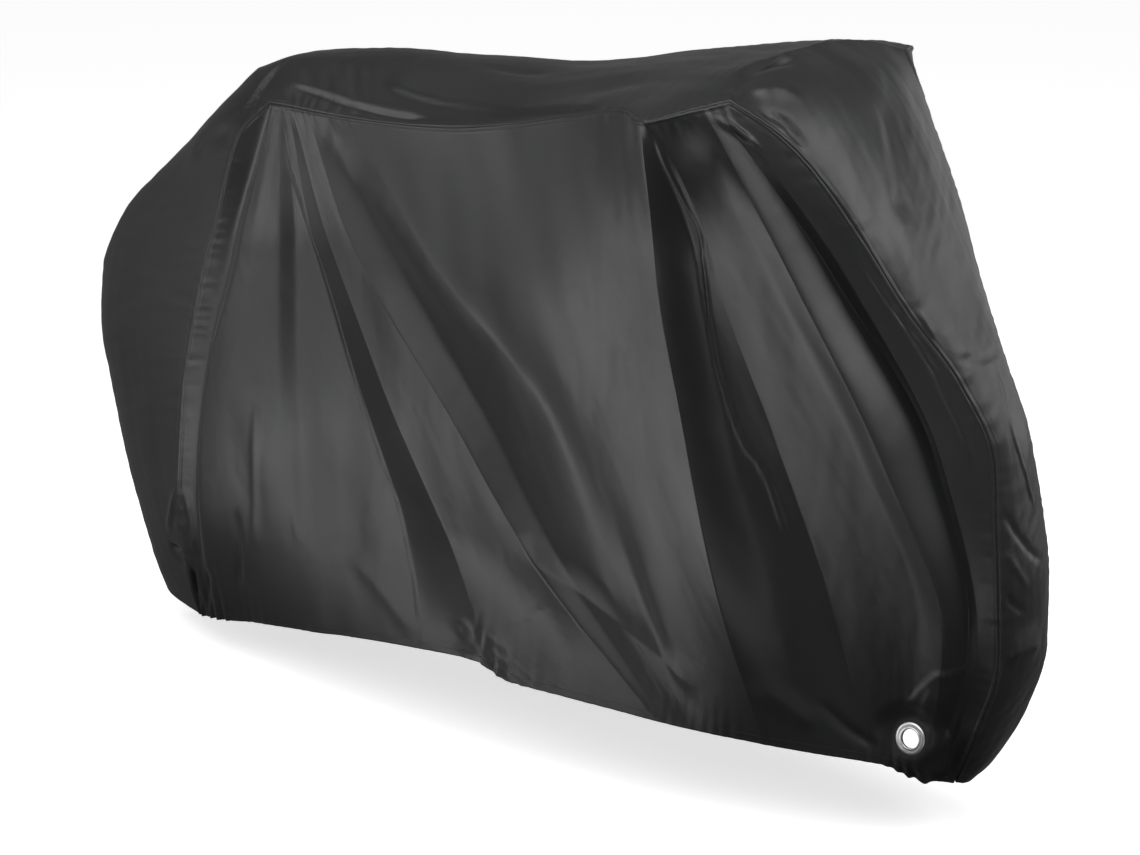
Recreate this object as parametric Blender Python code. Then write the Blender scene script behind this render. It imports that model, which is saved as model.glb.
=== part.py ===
"""Fitted cover for a bicycle, hollow and open along the bottom.

It is cut as two side panels, a strip from the rear hem over the saddle and the handlebar, a strip down the
front, and two corners that each hold a metal eyelet."""

import math
from collections import namedtuple

import bpy
import numpy as np

# Driving sizes in metres. X runs from the rear wheel to the front wheel, Y across, Z up from the ground.
CLOTH = 0.0020
PIECE_GAP = 0.0003
EDGE_DRAW = 0.7
SADDLE_X, SADDLE_HEIGHT = -0.420, 1.034
STRIP_ROUND = 2.4
CROSS_SEAM_HEIGHT = 0.730

# Rows of cells down a panel, the width of a column of cells, and the cells across the strip.
PANEL_LEVELS = 18
PANEL_COLUMN = 0.050
NARROWEST_FOLD = 0.02
STRIP_COLUMNS = 8
SHARP_ANGLE = math.radians(50.0)

# Shares of a panel's drop over which its folds run into the seam and into the hem.
SEAM_BLEND = 0.2
HEM_BLEND = 0.2

# A crease dies out over this share of its length at each end, and its line is traced in this many points.
CREASE_FADE = 0.3
CREASE_POINTS = 41

# The sheet is thickened at a seam along the shared normal, by at most 1 / MITRE_LIMIT times its thickness.
MITRE_LIMIT = 0.6

EYELET_X, EYELET_HEIGHT = 0.676, 0.170
EYELET_TILT = math.radians(11.0)
EYELET_OUTER_R, EYELET_BARREL_R, EYELET_HOLE_R = 0.0240, 0.0165, 0.0140
EYELET_FLANGE = 0.0012
EYELET_SIDES = 24
PUNCH_REACH = 0.02

# The cloth is flat around an eyelet out to FLAT_R and back on its own shape at BLEND_R. A lock corner takes
# the lowest rows of a panel's cells in front of CORNER_FROM_X, each cell cut into smaller ones.
FLAT_R, BLEND_R = 0.042, 0.056
CORNER_LEVELS = 3
CORNER_FROM_X = 0.612
CORNER_SPLIT = 3

# The colour, roughness and metallic value of each finish.
Finish = namedtuple("Finish", "colour roughness metallic")
FINISHES = {
    "black nylon": Finish((0.030, 0.030, 0.032), 0.42, 0.0),
    "black nylon strip": Finish((0.032, 0.032, 0.034), 0.42, 0.0),
    "black nylon corner": Finish((0.028, 0.028, 0.030), 0.45, 0.0),
    "nickel eyelet": Finish((0.72, 0.72, 0.73), 0.22, 1.0),
}

# The seam between a side panel and the strip, and the strip's centre line beside it.
Section = namedtuple("Section", "x half_width height centre_x centre_height")
REAR_SECTIONS = [
    Section(-0.714, 0.085, 0.052, -0.868, 0.046),
    Section(-0.717, 0.100, 0.100, -0.896, 0.100),
    Section(-0.717, 0.120, 0.200, -0.929, 0.200),
    Section(-0.700, 0.140, 0.300, -0.958, 0.300),
    Section(-0.682, 0.148, 0.400, -0.980, 0.400),
    Section(-0.665, 0.150, 0.500, -0.998, 0.500),
    Section(-0.640, 0.150, 0.600, -0.990, 0.600),
    Section(-0.610, 0.150, 0.700, -0.936, 0.700),
    Section(-0.578, 0.145, 0.800, -0.832, 0.800),
    Section(-0.560, 0.122, 0.900, -0.706, 0.905),
    Section(-0.510, 0.100, 0.956, -0.603, 0.992),
]
TOP_SECTIONS = [
    Section(-0.510, 0.100, 0.956, -0.603, 0.992),
    Section(-0.470, 0.106, 0.957, -0.520, 1.022),
    Section(-0.420, 0.114, 0.957, -0.440, 1.034),
    Section(-0.300, 0.130, 0.960, -0.300, 1.048),
    Section(-0.140, 0.150, 0.971, -0.140, 1.053),
    Section(0.000, 0.180, 0.996, 0.000, 1.059),
    Section(0.170, 0.235, 1.038, 0.160, 1.086),
    Section(0.310, 0.302, 1.070, 0.290, 1.108),
    Section(0.378, 0.354, 1.074, 0.350, 1.114),
    Section(0.418, 0.290, 1.085, 0.385, 1.122),
    Section(0.441, 0.240, 1.091, 0.410, 1.128),
]
FRONT_SECTIONS = [
    Section(0.441, 0.240, 1.091, 0.410, 1.128),
    Section(0.487, 0.200, 1.050, 0.490, 1.098),
    Section(0.529, 0.169, 1.000, 0.550, 1.030),
    Section(0.595, 0.136, 0.900, 0.620, 0.915),
    Section(0.651, 0.105, 0.800, 0.674, 0.810),
    Section(0.716, 0.068, 0.700, 0.734, 0.706),
    Section(0.766, 0.055, 0.600, 0.782, 0.602),
    Section(0.782, 0.067, 0.500, 0.800, 0.500),
    Section(0.794, 0.075, 0.400, 0.814, 0.400),
    Section(0.797, 0.072, 0.300, 0.817, 0.300),
    Section(0.772, 0.074, 0.200, 0.792, 0.196),
    Section(0.733, 0.050, 0.120, 0.750, 0.112),
    Section(0.712, 0.030, 0.088, 0.722, 0.080),
]

# The hem of a side panel, from its rear end to its front end.
HemPlace = namedtuple("HemPlace", "x half_width height")
HEM = [
    HemPlace(-0.714, 0.085, 0.052),
    HemPlace(-0.640, 0.105, 0.064),
    HemPlace(-0.551, 0.120, 0.083),
    HemPlace(-0.412, 0.150, 0.108),
    HemPlace(-0.290, 0.170, 0.130),
    HemPlace(-0.169, 0.190, 0.148),
    HemPlace(-0.043, 0.200, 0.160),
    HemPlace(0.032, 0.200, 0.139),
    HemPlace(0.256, 0.200, 0.140),
    HemPlace(0.433, 0.170, 0.132),
    HemPlace(0.534, 0.150, 0.131),
    HemPlace(0.634, 0.112, 0.124),
    HemPlace(0.680, 0.093, 0.106),
    HemPlace(0.704, 0.060, 0.095),
    HemPlace(0.712, 0.030, 0.088),
]

# The folds of a side panel from rear to front. A fold runs from x_top on the seam to x_hem on the hem and
# passes x_upper, x_middle and x_lower at a quarter, a half and three quarters of its drop. Its half widths
# there say how far the cloth stands out from the middle of the bicycle. A crispness of 1 is a sharp crease.
Fold = namedtuple("Fold", [
    "name", "x_top", "x_upper", "x_middle", "x_lower", "x_hem",
    "out_upper", "out_middle", "out_lower", "crispness",
])
NEAR_FOLDS = [
    Fold("fan_edge", -0.503, -0.546, -0.613, -0.649, -0.669, 0.148, 0.158, 0.147, 0.2),
    Fold("fan_crest", -0.495, -0.482, -0.506, -0.532, -0.575, 0.160, 0.168, 0.152, 0.0),
    Fold("fan_dip", -0.487, -0.431, -0.432, -0.435, -0.446, 0.156, 0.162, 0.150, 0.0),
    Fold("fan_ridge", -0.478, -0.375, -0.306, -0.242, -0.161, 0.168, 0.180, 0.172, 0.4),
    Fold("saddle_valley", -0.468, -0.352, -0.258, -0.137, -0.020, 0.146, 0.150, 0.150, 0.8),
    Fold("band_crest", -0.440, -0.262, -0.110, 0.060, 0.164, 0.170, 0.195, 0.200, 0.2),
    Fold("saddle_hollow", -0.288, -0.190, -0.020, 0.110, 0.236, 0.142, 0.150, 0.172, 0.0),
    Fold("wedge_foot", 0.001, 0.034, 0.087, 0.174, 0.301, 0.150, 0.143, 0.165, 0.0),
    Fold("wedge_edge", 0.248, 0.193, 0.190, 0.251, 0.353, 0.205, 0.175, 0.183, 0.2),
    Fold("grip_ridge", 0.378, 0.363, 0.364, 0.381, 0.412, 0.316, 0.268, 0.228, 0.7),
    Fold("grip_hollow", 0.388, 0.385, 0.400, 0.440, 0.500, 0.200, 0.150, 0.155, 0.1),
    Fold("thin_fold", 0.398, 0.412, 0.452, 0.525, 0.605, 0.200, 0.155, 0.137, 0.9),
    Fold("front_hollow", 0.410, 0.478, 0.490, 0.575, 0.640, 0.180, 0.140, 0.130, 0.2),
    Fold("front_band", 0.422, 0.545, 0.650, 0.700, 0.668, 0.205, 0.160, 0.130, 0.1),
    Fold("front_valley", 0.433, 0.590, 0.712, 0.756, 0.694, 0.118, 0.075, 0.095, 0.7),
]
FAR_FOLDS = [
    Fold("fan_edge", -0.503, -0.552, -0.605, -0.640, -0.660, 0.146, 0.152, 0.142, 0.1),
    Fold("fan_crest", -0.495, -0.470, -0.520, -0.560, -0.590, 0.158, 0.166, 0.150, 0.0),
    Fold("fan_dip", -0.487, -0.440, -0.450, -0.470, -0.500, 0.150, 0.152, 0.142, 0.0),
    Fold("fan_ridge", -0.478, -0.400, -0.360, -0.330, -0.300, 0.160, 0.176, 0.170, 0.2),
    Fold("saddle_valley", -0.462, -0.372, -0.300, -0.230, -0.180, 0.146, 0.150, 0.150, 0.6),
    Fold("band_crest", -0.430, -0.300, -0.190, -0.090, -0.020, 0.162, 0.184, 0.192, 0.2),
    Fold("saddle_hollow", -0.300, -0.180, -0.090, 0.010, 0.080, 0.144, 0.148, 0.168, 0.0),
    Fold("wedge_foot", -0.040, 0.020, 0.060, 0.120, 0.190, 0.150, 0.146, 0.162, 0.0),
    Fold("wedge_edge", 0.230, 0.200, 0.200, 0.240, 0.300, 0.215, 0.180, 0.180, 0.2),
    Fold("grip_ridge", 0.378, 0.368, 0.372, 0.390, 0.420, 0.322, 0.275, 0.235, 0.7),
    Fold("grip_hollow", 0.388, 0.392, 0.412, 0.450, 0.505, 0.205, 0.155, 0.152, 0.1),
    Fold("thin_fold", 0.398, 0.420, 0.470, 0.540, 0.610, 0.196, 0.150, 0.135, 0.6),
    Fold("front_hollow", 0.410, 0.470, 0.520, 0.590, 0.642, 0.176, 0.142, 0.128, 0.2),
    Fold("front_band", 0.422, 0.540, 0.645, 0.700, 0.670, 0.196, 0.158, 0.128, 0.1),
    Fold("front_valley", 0.433, 0.588, 0.705, 0.752, 0.696, 0.124, 0.085, 0.098, 0.5),
]

# Creases that cross the folds. Each follows a bent line in side view, sinks or stands out by rise, and dies
# out over the widths above and below the line.
Crease = namedtuple("Crease", "name x0 height0 x_bend height_bend x1 height1 rise above below")
NEAR_CREASES = [
    Crease("wedge_crease", 0.060, 0.372, 0.235, 0.318, 0.325, 0.190, -0.020, 0.110, 0.034),
    Crease("spike", -0.280, 0.420, -0.200, 0.290, -0.120, 0.150, 0.010, 0.060, 0.040),
    Crease("hem_gather", -0.060, 0.225, -0.025, 0.180, 0.012, 0.130, -0.014, 0.040, 0.040),
    Crease("rear_gather", -0.700, 0.230, -0.695, 0.150, -0.706, 0.060, -0.012, 0.035, 0.035),
]
FAR_CREASES = [
    Crease("wedge_crease", 0.000, 0.350, 0.150, 0.300, 0.240, 0.180, -0.014, 0.100, 0.045),
    Crease("hem_gather", -0.110, 0.230, -0.090, 0.180, -0.060, 0.130, -0.012, 0.040, 0.040),
]


def curve(keys, values, at, crispness=None):
    """Values of a smooth line through rows of values at rising keys; it is straight beside a crisp row."""
    keys, values, at = np.asarray(keys, float), np.asarray(values, float), np.asarray(at, float)
    spans = np.diff(keys)
    flat = values.reshape(len(keys), -1)
    rises = np.diff(flat, axis=0) / spans[:, None]
    before, after = rises[:-1], rises[1:]
    same_way = before * after > 0
    mean = np.where(same_way, 2 * before * after / np.where(same_way, before + after, 1.0), 0.0)
    slopes = np.vstack([rises[:1], mean, rises[-1:]])
    arriving = np.vstack([rises[:1], rises])
    leaving = np.vstack([rises, rises[-1:]])
    crisp = np.zeros(len(keys)) if crispness is None else np.asarray(crispness, float)
    arriving = slopes + crisp[:, None] * (arriving - slopes)
    leaving = slopes + crisp[:, None] * (leaving - slopes)
    row = np.clip(np.searchsorted(keys, at, side="right") - 1, 0, len(keys) - 2)
    t = ((at - keys[row]) / spans[row])[:, None]
    span = spans[row][:, None]
    result = (
        (2 * t**3 - 3 * t**2 + 1) * flat[row]
        + (t**3 - 2 * t**2 + t) * span * leaving[row]
        + (3 * t**2 - 2 * t**3) * flat[row + 1]
        + (t**3 - t**2) * span * arriving[row + 1]
    )
    return result.reshape(at.shape + values.shape[1:])


def along(sections, key, at):
    """Sections read at the given values of one of their columns."""
    table = np.array(sections, float)
    column = Section._fields.index(key)
    if table[0, column] > table[-1, column]:
        table = table[::-1]
    return curve(table[:, column], table, at)


def hem_at(x):
    """Half width and height of the hem at each x."""
    table = np.array(HEM, float)
    return curve(table[:, 0], table[:, 1:], x)


def smooth_step(value):
    value = np.clip(value, 0.0, 1.0)
    return value * value * (3 - 2 * value)


def crease_push(crease, x, height):
    """How far a crease pushes the cloth outwards at each place."""
    s = np.linspace(0.0, 1.0, CREASE_POINTS)
    path_x = (1 - s) ** 2 * crease.x0 + 2 * s * (1 - s) * crease.x_bend + s**2 * crease.x1
    path_z = (1 - s) ** 2 * crease.height0 + 2 * s * (1 - s) * crease.height_bend + s**2 * crease.height1
    away_x, away_z = x[..., None] - path_x, height[..., None] - path_z
    distance = np.hypot(away_x, away_z)
    nearest = np.argmin(distance, axis=-1)
    distance = np.min(distance, axis=-1)
    turn_x, turn_z = np.gradient(path_x)[nearest], np.gradient(path_z)[nearest]
    side = turn_x * (height - path_z[nearest]) - turn_z * (x - path_x[nearest])
    width = np.where(side > 0, crease.above, crease.below)
    fade = smooth_step(np.minimum(s, 1 - s)[nearest] / CREASE_FADE)
    return crease.rise * fade * np.clip(1 - distance / width, 0.0, 1.0) ** 2


def fold_lines(folds, levels):
    """The line of each fold from the seam down to the hem, between the rear seam and the front seam."""
    drop = np.linspace(0.0, 1.0, levels + 1)
    knots = np.linspace(0.0, 1.0, 5)
    tops = along(TOP_SECTIONS, "x", [fold.x_top for fold in folds])
    hems = hem_at(np.array([fold.x_hem for fold in folds]))
    rear_height = REAR_SECTIONS[-1].height + drop * (HEM[0].height - REAR_SECTIONS[-1].height)
    front_height = FRONT_SECTIONS[0].height + drop * (HEM[-1].height - FRONT_SECTIONS[0].height)
    lines = [along(REAR_SECTIONS, "height", rear_height)[:, :3]]
    for fold, top, hem in zip(folds, tops, hems):
        xs = [fold.x_top, fold.x_upper, fold.x_middle, fold.x_lower, fold.x_hem]
        outs = [top[1], fold.out_upper, fold.out_middle, fold.out_lower, hem[0]]
        heights = top[2] + (hem[1] - top[2]) * drop
        lines.append(np.stack([curve(knots, xs, drop), curve(knots, outs, drop), heights], axis=1))
    lines.append(along(FRONT_SECTIONS, "height", front_height)[:, :3])
    return np.array(lines)


def fold_gaps(lines):
    """The distances between neighbouring folds at half their drop."""
    middle = lines.shape[1] // 2
    return np.maximum(np.linalg.norm(np.diff(lines[:, middle], axis=0), axis=1), NARROWEST_FOLD)


def side_grid(folds, creases, levels, counts):
    """Points of one side panel, level by level from the seam to the hem; Y holds half widths."""
    lines = fold_lines(folds, levels)
    keys = np.concatenate([[0.0], np.cumsum(fold_gaps(lines))])
    steps = [
        np.linspace(start, end, count, endpoint=False)
        for start, end, count in zip(keys, keys[1:], counts)
    ]
    crisp = [1.0] + [fold.crispness for fold in folds] + [1.0]
    grid = curve(keys, lines, np.concatenate(steps + [keys[-1:]]), crisp).transpose(1, 0, 2)
    drop = np.linspace(0.0, 1.0, levels + 1)[:, None, None]
    near_seam = np.maximum(1 - drop / SEAM_BLEND, 0.0) ** 2
    near_hem = np.maximum(1 - (1 - drop) / HEM_BLEND, 0.0) ** 2
    seam = along(TOP_SECTIONS, "x", grid[0, :, 0])[:, :3]
    grid += (seam - grid[0])[None] * near_seam
    hem = hem_at(grid[-1, :, 0])
    grid[:, :, 1:] += (hem - grid[-1, :, 1:])[None] * near_hem
    for crease in creases:
        grid[1:, 1:-1, 1] += crease_push(crease, grid[1:, 1:-1, 0], grid[1:, 1:-1, 2])
    return grid


def strip_grid(near, far, columns):
    """Points of the strip: sections from the rear hem to the front hem, each from the near seam across."""
    seams = [np.vstack([side[::-1, 0], side[0, 1:], side[1:, -1]]) for side in (near, far)]
    middle = (seams[0] + seams[1]) / 2
    last_rear, first_front = len(near) - 1, len(middle) - len(near)
    centre = np.vstack([
        along(REAR_SECTIONS, "height", middle[:last_rear, 2])[:, 3:],
        along(TOP_SECTIONS, "x", middle[last_rear:first_front + 1, 0])[:, 3:],
        along(FRONT_SECTIONS, "height", middle[first_front + 1:, 2])[:, 3:],
    ])
    across = np.linspace(-1.0, 1.0, columns + 1)
    arch = (1 - np.abs(across) ** STRIP_ROUND)[None]
    share = ((1 + across) / 2)[None]
    grid = np.zeros((len(middle), columns + 1, 3))
    for axis, crown in ((0, centre[:, :1]), (2, centre[:, 1:])):
        edge = seams[0][:, axis:axis + 1] * (1 - share) + seams[1][:, axis:axis + 1] * share
        grid[:, :, axis] = edge + (crown - middle[:, axis:axis + 1]) * arch
    grid[:, :, 1] = seams[1][:, 1:2] * share - seams[0][:, 1:2] * (1 - share)
    return grid


def grid_normals(grid):
    """Unit normal at each point of a grid, from the diagonals of the cells around it."""
    a, b, c, d = grid[:-1, :-1], grid[:-1, 1:], grid[1:, 1:], grid[1:, :-1]
    cell = np.cross(c - a, d - b)
    cell /= np.maximum(np.linalg.norm(cell, axis=-1, keepdims=True), 1e-12)
    total = np.zeros_like(grid)
    for rows in (slice(0, -1), slice(1, None)):
        for columns in (slice(0, -1), slice(1, None)):
            total[rows, columns] += cell
    return total / np.maximum(np.linalg.norm(total, axis=-1, keepdims=True), 1e-12)


def seam_mitres(near_normals, far_normals, strip_normals):
    """Replaces the normals along both seams, in place, by their mitre, lengthened to keep the thickness."""
    for side, edge in ((near_normals, 0), (far_normals, -1)):
        path = [(row, 0) for row in range(len(side) - 1, -1, -1)]
        path += [(0, column) for column in range(1, side.shape[1])]
        path += [(row, side.shape[1] - 1) for row in range(1, len(side))]
        for station, place in enumerate(path):
            shared = side[place] + strip_normals[station, edge]
            shared = shared / np.linalg.norm(shared)
            stretch = 1 / max(float(shared @ side[place]), MITRE_LIMIT)
            side[place] = strip_normals[station, edge] = shared * stretch


def cloth_solid(name, outer, inner, cells, material):
    """A closed sheet over the chosen cells between two grids, drawn back a little from its edges."""
    columns = outer.shape[1]
    corners = []
    for row, column in zip(*np.nonzero(cells)):
        a, b = row * columns + column, row * columns + column + 1
        corners.append((a, b, b + columns, a + columns))
    points = [outer.reshape(-1, 3), inner.reshape(-1, 3)]
    seen, edges = {}, set()
    for corner in corners:
        for start, end in zip(corner, corner[1:] + corner[:1]):
            shared = (end, start) in edges
            edges ^= {(end, start) if shared else (start, end)}
        for place in corner:
            seen.setdefault(place, []).append(corner)
    rim = {place for edge in edges for place in edge}
    order = {place: number for number, place in enumerate(sorted(seen))}
    vertices = []
    for layer in points:
        for place in sorted(seen):
            point = layer[place]
            if place in rim:
                way = np.mean([layer[list(corner)].mean(axis=0) for corner in seen[place]], axis=0) - point
                point = point + way / np.linalg.norm(way) * PIECE_GAP * EDGE_DRAW
            vertices.append(point)
    count = len(order)
    faces = []
    for a, b, c, d in corners:
        first, second = points[0][a] - points[0][c], points[0][b] - points[0][d]
        first_is_short = np.linalg.norm(first) <= np.linalg.norm(second)
        for triangle in ((a, b, c), (a, c, d)) if first_is_short else ((a, b, d), (b, c, d)):
            triangle = [order[place] for place in triangle]
            faces.append(tuple(triangle))
            faces.append(tuple(count + place for place in reversed(triangle)))
    for start, end in edges:
        a, b = order[start], order[end]
        faces.append((b, a, count + a))
        faces.append((b, count + a, count + b))
    return add_object(name, vertices, faces, material)


def add_object(name, vertices, faces, material):
    """A smooth-shaded object from points and faces, turned so that its faces point out."""
    vertices = np.array(vertices, float)
    volume = sum(float(np.dot(vertices[a], np.cross(vertices[b], vertices[c]))) for a, b, c in faces)
    if volume < 0:
        faces = [face[::-1] for face in faces]
    mesh = bpy.data.meshes.new(name)
    mesh.from_pydata(vertices.tolist(), [], faces)
    mesh.shade_smooth()
    mesh.set_sharp_from_angle(angle=SHARP_ANGLE)
    mesh.materials.append(material)
    thing = bpy.data.objects.new(name, mesh)
    bpy.context.collection.objects.link(thing)
    return thing


def material_of(name):
    """A plain Principled material of one of the finishes."""
    finish = FINISHES[name]
    material = bpy.data.materials.new(name)
    material.use_nodes = True
    shader = material.node_tree.nodes["Principled BSDF"]
    shader.inputs["Base Color"].default_value = (*finish.colour, 1.0)
    shader.inputs["Roughness"].default_value = finish.roughness
    shader.inputs["Metallic"].default_value = finish.metallic
    return material


def refined(grid, split):
    """The same straight-edged cells, each cut into split by split smaller ones."""
    for axis in (0, 1):
        count = grid.shape[axis]
        at = np.linspace(0, count - 1, (count - 1) * split + 1)
        low = np.minimum(at.astype(int), count - 2)
        share = (at - low).reshape([-1 if axis == side else 1 for side in range(3)])
        grid = np.take(grid, low, axis=axis) * (1 - share) + np.take(grid, low + 1, axis=axis) * share
    return grid


def flattened(grid, centre, axis, height):
    """The grid pressed onto a plane around the eyelet, at a height along its axis."""
    away = grid - centre
    along_axis = away @ axis
    radius = np.linalg.norm(away - along_axis[..., None] * axis, axis=-1)
    share = 1 - smooth_step((radius - FLAT_R) / (BLEND_R - FLAT_R))
    return grid + axis * ((height - along_axis) * share)[..., None]


def ways_around(axis, turn):
    """Unit vectors square to an axis that has no X in it, one for each side of an eyelet."""
    across = np.array([1.0, 0.0, 0.0])
    other = np.cross(axis, across)
    angles = [2 * math.pi * (step + turn) / EYELET_SIDES for step in range(EYELET_SIDES)]
    return [across * math.cos(angle) + other * math.sin(angle) for angle in angles]


def turned_ring(name, profile, centre, axis, material):
    """A ring turned from a closed profile of radii and heights about an axis."""
    vertices, faces = [], []
    for way in ways_around(axis, 0.0):
        vertices += [centre + way * radius + axis * height for radius, height in profile]
    count = len(profile)
    for step in range(EYELET_SIDES):
        for place in range(count):
            here, there = step * count, (step + 1) % EYELET_SIDES * count
            following = (place + 1) % count
            a, b, c, d = here + place, here + following, there + place, there + following
            faces += [(a, b, d), (a, d, c)]
    return add_object(name, vertices, faces, material)


def eyelet_profile():
    """Radii and heights of an eyelet whose two flanges hold the cloth, from the hole round the outside; the
    upper flange is rolled, and its roll is measured in thicknesses of the flange."""
    over, under = PIECE_GAP, -CLOTH - PIECE_GAP
    return [
        (EYELET_HOLE_R, over + 0.3 * EYELET_FLANGE),
        (EYELET_HOLE_R + 0.8 * EYELET_FLANGE, over + 1.3 * EYELET_FLANGE),
        (EYELET_HOLE_R + 4.0 * EYELET_FLANGE, over + 1.6 * EYELET_FLANGE),
        (EYELET_OUTER_R - 1.6 * EYELET_FLANGE, over + 1.2 * EYELET_FLANGE),
        (EYELET_OUTER_R, over + 0.4 * EYELET_FLANGE),
        (EYELET_OUTER_R, over),
        (EYELET_BARREL_R, over),
        (EYELET_BARREL_R, under),
        (EYELET_OUTER_R, under),
        (EYELET_OUTER_R, under - 0.6 * EYELET_FLANGE),
        (EYELET_HOLE_R + 0.8 * EYELET_FLANGE, under - EYELET_FLANGE),
        (EYELET_HOLE_R, under - 0.4 * EYELET_FLANGE),
    ]


def punch(thing, centre, axis, radius):
    """Cuts a round hole through a piece with a hidden cutter, and returns the cutter."""
    vertices, faces = [], []
    for way in ways_around(axis, 0.5):
        vertices += [centre + way * radius + axis * height for height in (-PUNCH_REACH, PUNCH_REACH)]
    low, high = len(vertices), len(vertices) + 1
    vertices += [centre - axis * PUNCH_REACH, centre + axis * PUNCH_REACH]
    for step in range(EYELET_SIDES):
        a, b = 2 * step, 2 * ((step + 1) % EYELET_SIDES)
        faces += [(a, b, b + 1), (a, b + 1, a + 1), (low, b, a), (high, a + 1, b + 1)]
    cutter = add_object(thing.name + "_hole_cutter", vertices, faces, thing.data.materials[0])
    cutter.hide_render = True
    cutter.display_type = "WIRE"
    cut = thing.modifiers.new("eyelet hole", "BOOLEAN")
    cut.operation = "DIFFERENCE"
    cut.object = cutter
    return cutter


def side_pieces(prefix, side, outer, inner, cloth, corner_cloth, metal):
    """The panel of one side, its corner and its eyelet; side is -1 for the near side and 1 for the far."""
    first_row = outer.shape[0] - 1 - CORNER_LEVELS
    first_column = int(np.argmax(outer[first_row + 1, :, 0] > CORNER_FROM_X))
    cells = np.ones((outer.shape[0] - 1, outer.shape[1] - 1), bool)
    cells[first_row:, first_column:] = False
    panel = cloth_solid(prefix + "_side_panel", outer, inner, cells, cloth)
    corner_outer = refined(outer[first_row:, first_column:], CORNER_SPLIT)
    corner_inner = refined(inner[first_row:, first_column:], CORNER_SPLIT)
    axis = np.array([0.0, side * math.cos(EYELET_TILT), math.sin(EYELET_TILT)])
    flat = corner_outer.reshape(-1, 3)
    away = np.hypot(flat[:, 0] - EYELET_X, flat[:, 2] - EYELET_HEIGHT)
    nearest = np.argsort(away)[:4]
    centre = np.array([EYELET_X, float(flat[nearest, 1].mean()), EYELET_HEIGHT])
    corner_outer = flattened(corner_outer, centre, axis, 0.0)
    corner_inner = flattened(corner_inner, centre, axis, -CLOTH)
    whole = np.ones((corner_outer.shape[0] - 1, corner_outer.shape[1] - 1), bool)
    corner = cloth_solid(prefix + "_lock_corner", corner_outer, corner_inner, whole, corner_cloth)
    cutter = punch(corner, centre, axis, EYELET_BARREL_R + PIECE_GAP)
    ring = turned_ring(prefix + "_eyelet", eyelet_profile(), centre, axis, metal)
    return [panel, corner, cutter, ring]


def build():
    for old in list(bpy.data.objects):
        bpy.data.objects.remove(old, do_unlink=True)
    cloth, strip_cloth, corner_cloth, metal = [material_of(name) for name in FINISHES]

    gaps = fold_gaps(fold_lines(NEAR_FOLDS, PANEL_LEVELS))
    counts = [max(2, round(gap / PANEL_COLUMN)) for gap in gaps]
    near = side_grid(NEAR_FOLDS, NEAR_CREASES, PANEL_LEVELS, counts)
    far = side_grid(FAR_FOLDS, FAR_CREASES, PANEL_LEVELS, counts)
    near[..., 1] *= -1
    strip = strip_grid(near * [1, -1, 1], far, STRIP_COLUMNS)
    normals = [-grid_normals(near), grid_normals(far), -grid_normals(strip)]
    seam_mitres(*normals)
    grids = [(grid, grid - normal * CLOTH) for grid, normal in zip((near, far, strip), normals)]

    things = side_pieces("near", -1, *grids[0], cloth, corner_cloth, metal)
    things += side_pieces("far", 1, *grids[1], cloth, corner_cloth, metal)
    outer, inner = grids[2]
    front_of_handlebar = len(outer) - PANEL_LEVELS - 1
    low = outer[front_of_handlebar:, 0, 2] < CROSS_SEAM_HEIGHT
    split = front_of_handlebar + int(np.argmax(low))
    top_cells = np.zeros((outer.shape[0] - 1, outer.shape[1] - 1), bool)
    top_cells[:split] = True
    things.append(cloth_solid("top_and_rear_strip", outer, inner, top_cells, strip_cloth))
    things.append(cloth_solid("front_strip", outer, inner, ~top_cells, strip_cloth))

    ground = bpy.data.objects.new("ground_under_saddle", None)
    bpy.context.collection.objects.link(ground)
    ground.location = (-SADDLE_X, 0.0, -SADDLE_HEIGHT)
    for thing in things:
        thing.parent = ground


build()
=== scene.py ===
# A fitted cover for a bicycle in black coated nylon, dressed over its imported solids.
import math
from collections import namedtuple

import bpy
import numpy as np
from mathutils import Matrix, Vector


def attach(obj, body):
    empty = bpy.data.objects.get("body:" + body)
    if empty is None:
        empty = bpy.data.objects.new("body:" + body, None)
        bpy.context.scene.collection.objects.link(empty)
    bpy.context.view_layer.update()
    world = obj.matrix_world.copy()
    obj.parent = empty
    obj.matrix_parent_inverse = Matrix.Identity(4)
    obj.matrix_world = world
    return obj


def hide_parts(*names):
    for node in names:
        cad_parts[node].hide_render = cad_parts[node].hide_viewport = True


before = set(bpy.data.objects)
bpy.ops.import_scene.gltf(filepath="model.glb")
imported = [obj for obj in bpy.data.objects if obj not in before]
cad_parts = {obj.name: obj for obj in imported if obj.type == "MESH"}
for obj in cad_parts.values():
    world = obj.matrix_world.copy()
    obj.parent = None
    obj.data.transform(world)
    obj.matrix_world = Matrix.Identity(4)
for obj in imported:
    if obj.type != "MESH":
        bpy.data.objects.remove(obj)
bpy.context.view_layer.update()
print("frame loaded:", len(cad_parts), "nodes")

# Shapes are written from the ground: X from the rear wheel to the front one, Y across, Z up.
# The frame's own origin lies on the saddle.
saddlePlace = np.array([-0.420, 0.0, 1.034])

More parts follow.
